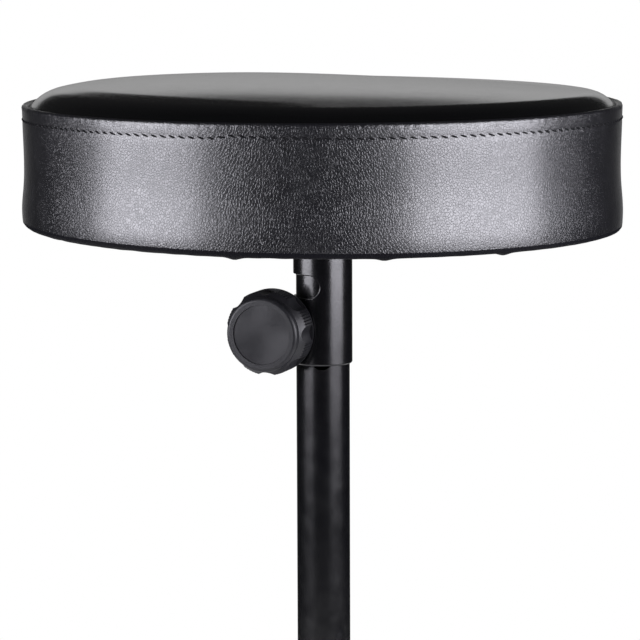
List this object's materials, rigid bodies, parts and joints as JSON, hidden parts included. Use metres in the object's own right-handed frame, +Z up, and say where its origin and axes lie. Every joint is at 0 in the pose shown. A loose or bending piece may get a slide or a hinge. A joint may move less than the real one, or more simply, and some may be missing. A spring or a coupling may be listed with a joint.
{
  "type": "drum stool",
  "caption": "Round padded drum stool: a black vinyl seat clamped by a knob on a steel pole, over a folding tripod.",
  "frame": {"origin": "on the pole's axis at floor level, under the stool's middle", "axes": "+Z up along the pole; the front, where the seat's knob is, faces -Y; the first leg points to +Y"},
  "size_m": [0.4036, 0.3663, 0.54],
  "materials": {
    "vinyl": "grained, satin",
    "foam": "open cell, matte",
    "plywood": "sanded",
    "dust_cloth": "non-woven, matte",
    "zinc": "zinc plated",
    "black_steel": "satin powder coat",
    "black_casting": "satin paint on casting",
    "black_plastic": "moulded, satin",
    "nylon": "moulded",
    "brass": "turned",
    "rubber": "matte"
  },
  "bodies": {
    "base": {"base_tube": "black_steel", "base_clamp_lugs": "black_steel", "base_clamp_bolt": "zinc", "base_tube_plug": "black_plastic", "lower_hub": "black_casting", "hub_rivets": "zinc", "lower_pivots": "zinc"},
    "fold_brace_1": {"brace_1": "black_steel"},
    "fold_leg_1": {"leg_1": "black_steel", "foot_1": "rubber", "mid_pivot_1": "zinc"},
    "fold_brace_2": {"brace_2": "black_steel"},
    "fold_leg_2": {"leg_2": "black_steel", "foot_2": "rubber", "mid_pivot_2": "zinc"},
    "fold_brace_3": {"brace_3": "black_steel"},
    "fold_leg_3": {"leg_3": "black_steel", "foot_3": "rubber", "mid_pivot_3": "zinc"},
    "collar": {"leg_collar": "black_casting", "collar_liner": "nylon", "upper_pivots": "zinc"},
    "wing_press": {"pressure_tip": "nylon"},
    "wing": {"wing_bolt": "zinc", "wing_grip": "black_plastic"},
    "pole": {"seat_pole": "black_steel", "pole_top_plug": "black_plastic", "pole_bottom_plug": "black_plastic"},
    "seat": {"top_panel": "vinyl", "side_band": "vinyl", "foam_pad": "foam", "seat_board": "plywood", "bottom_cloth": "dust_cloth", "staples": "zinc", "tee_nuts": "zinc", "seat_plate": "black_steel", "plate_washers": "zinc", "plate_bolts": "zinc", "socket_sleeve": "black_steel", "seat_clamp_lugs": "black_steel", "seat_clamp_bolt": "zinc"},
    "washer_upper": {"seat_clamp_washer": "zinc"},
    "knob_upper": {"seat_knob": "black_plastic", "seat_knob_insert": "brass", "seat_knob_cap": "black_plastic"},
    "washer_lower": {"base_clamp_washer": "zinc"},
    "knob_lower": {"base_knob": "black_plastic", "base_knob_insert": "brass", "base_knob_cap": "black_plastic"}
  },
  "joints": [
    {"name": "base_fold", "type": "hinge", "parent": "base", "child": "fold_brace_1", "pos_m": [0, 0.027, 0.048], "axis": [1, 0, 0], "range_deg": [0, 49]},
    {"name": "brace_2_fold", "type": "hinge", "parent": "base", "child": "fold_brace_2", "pos_m": [-0.02338, -0.0135, 0.048], "axis": [-0.5, 0.866, 0], "range_deg": [0, 49]},
    {"name": "brace_3_fold", "type": "hinge", "parent": "base", "child": "fold_brace_3", "pos_m": [0.02338, -0.0135, 0.048], "axis": [-0.5, -0.866, 0], "range_deg": [0, 49]},
    {"name": "leg_1_fold", "type": "hinge", "parent": "fold_brace_1", "child": "fold_leg_1", "pos_m": [0, 0.08876, 0.09125], "axis": [-1, 0, 0], "range_deg": [0, 98]},
    {"name": "leg_2_fold", "type": "hinge", "parent": "fold_brace_2", "child": "fold_leg_2", "pos_m": [-0.07687, -0.04438, 0.09125], "axis": [0.5, -0.866, 0], "range_deg": [0, 98]},
    {"name": "leg_3_fold", "type": "hinge", "parent": "fold_brace_3", "child": "fold_leg_3", "pos_m": [0.07687, -0.04438, 0.09125], "axis": [0.5, 0.866, 0], "range_deg": [0, 98]},
    {"name": "collar_level", "type": "hinge", "parent": "fold_leg_1", "child": "collar", "pos_m": [0, 0.027, 0.1345], "axis": [1, 0, 0], "range_deg": [0, 49]},
    {"name": "wing_slide", "type": "slide", "parent": "collar", "child": "wing_press", "axis": [0, -1, 0], "range_m": [0, 0.00255]},
    {"name": "wing_turn", "type": "hinge", "parent": "wing_press", "child": "wing", "pos_m": [0, -0.03, 0.1345], "axis": [0, -1, 0], "range_deg": [0, 720]},
    {"name": "pole_slide", "type": "slide", "parent": "base", "child": "pole", "axis": [0, 0, 1], "range_m": [-0.1, 0.06]},
    {"name": "seat_swivel", "type": "hinge", "parent": "pole", "child": "seat", "pos_m": [0, 0, 0.44], "axis": [0, 0, 1], "continuous": true},
    {"name": "seat_knob_slide", "type": "slide", "parent": "seat", "child": "washer_upper", "axis": [-0.342, -0.9397, 0], "range_m": [0, 0.00255]},
    {"name": "seat_knob_turn", "type": "hinge", "parent": "washer_upper", "child": "knob_upper", "pos_m": [-0.02298, -0.0076, 0.4226], "axis": [-0.342, -0.9397, 0], "range_deg": [0, 720]},
    {"name": "base_knob_slide", "type": "slide", "parent": "base", "child": "washer_lower", "axis": [0.342, -0.9397, 0], "range_m": [0, 0.00255]},
    {"name": "base_knob_turn", "type": "hinge", "parent": "washer_lower", "child": "knob_lower", "pos_m": [0.02298, -0.0076, 0.2514], "axis": [0.342, -0.9397, 0], "range_deg": [0, 720]}
  ],
  "couplings": [
    {"joint": "brace_2_fold", "follows": "base_fold", "ratio": 1},
    {"joint": "brace_3_fold", "follows": "base_fold", "ratio": 1},
    {"joint": "leg_1_fold", "follows": "base_fold", "ratio": 2},
    {"joint": "leg_2_fold", "follows": "base_fold", "ratio": 2},
    {"joint": "leg_3_fold", "follows": "base_fold", "ratio": 2},
    {"joint": "collar_level", "follows": "base_fold", "ratio": 1},
    {"joint": "wing_slide", "follows": "wing_turn", "m_per_rad": 0.00019894},
    {"joint": "seat_knob_slide", "follows": "seat_knob_turn", "m_per_rad": 0.00019894},
    {"joint": "base_knob_slide", "follows": "base_knob_turn", "m_per_rad": 0.00019894}
  ]
}
